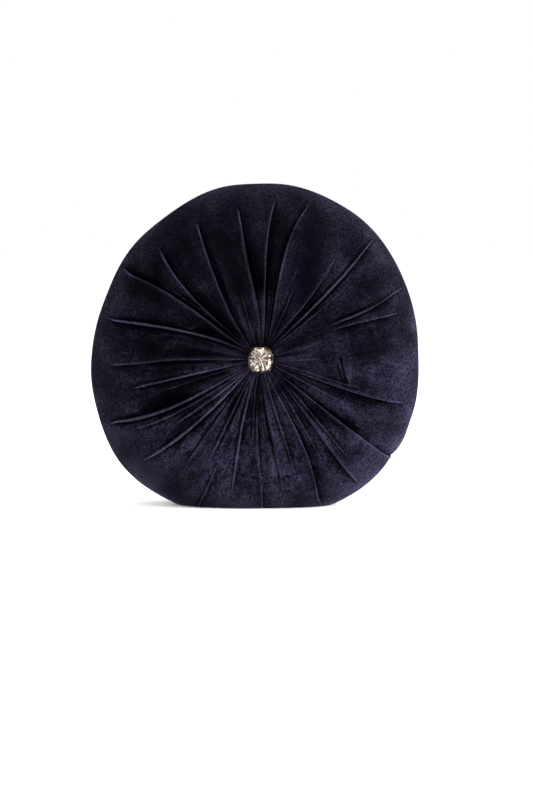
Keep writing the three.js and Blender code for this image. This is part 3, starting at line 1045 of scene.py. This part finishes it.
def crystal_material():
    """Foil-backed cut glass with painted glints and reflections: most facets are painted cream, some grey
    and dark, a few reddish brown.
    """
    n = Nodes("cut_crystal")
    glint = n.attribute("glint")
    # Painted reflections: each facet's glint value picks one of five painted colours: cream, grey, dark,
    # reddish brown and bright.
    colour = n.ramp(glint, (0.0, (0.44, 0.385, 0.335)), (0.30, (0.20, 0.172, 0.152)),
                    (0.50, (0.028, 0.024, 0.020)), (0.73, (0.17, 0.060, 0.036)),
                    (0.86, (0.80, 0.73, 0.665)), constant=True)
    n.join(colour, n.shader.inputs["Base Color"])
    cloud = n.noise(900, 2, 0.5)
    n.join(n.ramp(cloud, (0.3, grey(0.06)), (0.7, grey(0.16))), n.shader.inputs["Roughness"])
    n.shader.inputs["Metallic"].default_value = 0.8
    n.shader.inputs["Coat Weight"].default_value = 0.5
    n.shader.inputs["Coat Roughness"].default_value = 0.03
    return n.material


def thread_material(name, dark, light, scale):
    """Twisted yarn: fine slanting bands along the strand."""
    n = Nodes(name)
    twist = n.bands("DIAGONAL", scale, 1.5)
    n.join(n.ramp(twist, (0.2, dark), (0.8, light)), n.shader.inputs["Base Color"])
    n.shader.inputs["Roughness"].default_value = 0.6
    n.bump(twist, 0.6, 0.0002)
    return n.material


def calico_material():
    """Plain weave of unbleached cotton."""
    n = Nodes("calico_weave")
    weave = n.times(n.bands("X", 320, 0.6), n.bands("Z", 320, 0.6))
    slub = n.noise(60, 2, 0.6)
    tone = n.plus(n.times(weave, 0.5), n.times(slub, 0.5))
    colour = n.ramp(tone, (0.2, (0.50, 0.46, 0.37)), (0.8, (0.72, 0.68, 0.58)))
    n.join(colour, n.shader.inputs["Base Color"])
    n.shader.inputs["Roughness"].default_value = 0.9
    n.bump(weave, 0.5, 0.0003)
    return n.material


def fibre_material():
    """Clumps of white hollow fibre."""
    n = Nodes("fibre_clumps")
    clumps = n.noise(70, 5, 0.7, 1.5)
    n.join(n.ramp(clumps, (0.3, grey(0.62)), (0.7, grey(0.86))), n.shader.inputs["Base Color"])
    n.shader.inputs["Roughness"].default_value = 0.95
    n.bump(clumps, 0.8, 0.002)
    return n.material


def steel_material():
    """Stamped steel with fine brush lines."""
    n = Nodes("button_steel")
    lines = n.noise(600, 4, 0.7, 0.4)
    n.join(n.ramp(lines, (0.3, grey(0.45)), (0.7, grey(0.62))), n.shader.inputs["Base Color"])
    n.join(n.ramp(lines, (0.3, grey(0.22)), (0.7, grey(0.38))), n.shader.inputs["Roughness"])
    n.shader.inputs["Metallic"].default_value = 1.0
    n.bump(lines, 0.15, 0.0001)
    return n.material


def wear(obj, material):
    obj.data.materials.clear()
    obj.data.materials.append(material)


# ---- stage, lights ---------------------------------

FLOOR_RADIUS = 9
LAMP_AIM = Vector((0, 0, 0.2))


def make_floor():
    """A plain pale disc far wider than the view."""
    mesh = bpy.data.meshes.new("floor")
    turn = round_turn(96)
    points = FLOOR_RADIUS * np.stack([np.cos(turn), np.sin(turn), 0 * turn], axis=-1)
    mesh.from_pydata(points.tolist(), [], [tuple(range(len(turn)))])
    floor = add_object("floor", mesh)
    n = Nodes("pale_floor")
    grain = n.noise(30, 2, 0.5)
    n.join(n.ramp(grain, (0.3, grey(0.93)), (0.7, grey(0.95))), n.shader.inputs["Base Color"])
    n.shader.inputs["Roughness"].default_value = 0.8
    n.shader.inputs["Emission Color"].default_value = (1, 1, 1, 1)
    n.shader.inputs["Emission Strength"].default_value = 0.12
    wear(floor, n.material)


def area_light(name, place, size, power, colour=(1, 1, 1)):
    data = bpy.data.lights.new(name, "AREA")
    data.shape = "RECTANGLE"
    data.size, data.size_y = size
    data.energy = power
    data.color = colour
    lamp = add_object(name, data)
    lamp.location = place
    lamp.rotation_euler = (Vector(place) - LAMP_AIM).to_track_quat("Z", "Y").to_euler()


def make_lights():
    """A white room with soft lamps at the sides and above, as in a product studio."""
    world = bpy.data.worlds.new("studio")
    world.use_nodes = True
    world.node_tree.nodes["Background"].inputs["Color"].default_value = (1, 1, 1, 1)
    world.node_tree.nodes["Background"].inputs["Strength"].default_value = 1.0
    bpy.context.scene.world = world
    area_light("key_right", (2.3, -0.8, 0.9), (0.8, 1.2), 100)
    area_light("back_right", (1.6, 1.0, 0.6), (0.8, 1.2), 40)
    area_light("left_soft", (-2.2, 0.3, 1.0), (1.0, 1.4), 32)
    area_light("warm_top", (-0.3, -1.1, 2.2), (1.2, 1.2), 14, colour=(1.0, 0.95, 0.80))
    bpy.context.scene.view_settings.view_transform = "Standard"


# ---- build -----------------------------------------

velvet = velvet_material()
wear(make_cover(), velvet)
wear(make_back_button(), velvet)
wear(make_crystal(), crystal_material())

calico = calico_material()
wear(make_pad_panel("calico_front_panel", "pad_front_panel", 0.0, 2.0), calico)
wear(make_pad_panel("calico_back_panel", "pad_back_panel", 2.0, 4.0), calico)
wear(make_fill(), fibre_material())

navy_thread = thread_material("navy_thread", (0.004, 0.003, 0.010), (0.02, 0.017, 0.045), 500)
wear(make_side_seam(), navy_thread)
for node in ("front_gather_thread", "back_gather_thread"):
    wear(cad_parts[node], navy_thread)

twine = thread_material("natural_twine", (0.42, 0.37, 0.27), (0.68, 0.63, 0.52), 350)
wear(make_rim_seam(), twine)
wear(make_closing_stitches(), twine)
wear(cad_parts["tufting_twine"], twine)

steel = steel_material()
for node in ("crystal_back_plate", "crystal_wire_loop", "back_button_dome", "back_button_plate",
             "back_button_wire_loop"):
    wear(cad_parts[node], steel)

make_floor()
make_lights()
